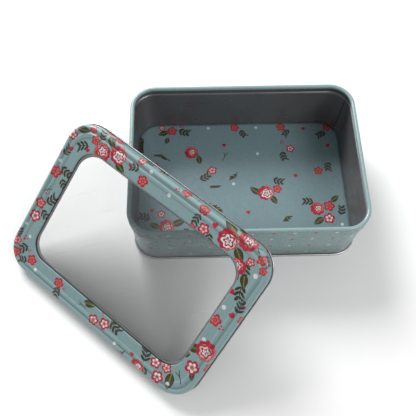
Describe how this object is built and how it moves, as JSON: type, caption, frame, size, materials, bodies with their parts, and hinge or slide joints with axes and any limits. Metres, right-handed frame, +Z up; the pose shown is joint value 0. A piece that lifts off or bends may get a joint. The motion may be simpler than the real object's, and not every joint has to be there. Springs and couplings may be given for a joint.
{
  "type": "window lid storage tin",
  "caption": "Rounded rectangular printed tinplate box with a rolled rim, and its slip-on framed window lid leaning against one corner.",
  "frame": {"origin": "middle of the box's flat underside, on the surface that it stands on", "axes": "+Z up out of the box's mouth; +X along the box's long side; +Y towards its back wall, away from the leaning lid"},
  "size_m": [0.2441, 0.2076, 0.073],
  "materials": {
    "printed_tinplate": "gloss",
    "bare_tinplate": "satin",
    "clear_film": "gloss"
  },
  "bodies": {
    "box": {"box_wall": "printed_tinplate", "base_panel": "printed_tinplate"},
    "lid": {"lid_frame": "printed_tinplate", "window_film": "clear_film", "window_ring": "bare_tinplate"}
  },
  "joints": [
    {"name": "lid_lift", "type": "slide", "parent": "box", "child": "lid", "axis": [0, 0, 1], "range_m": [0, 0.12]}
  ]
}
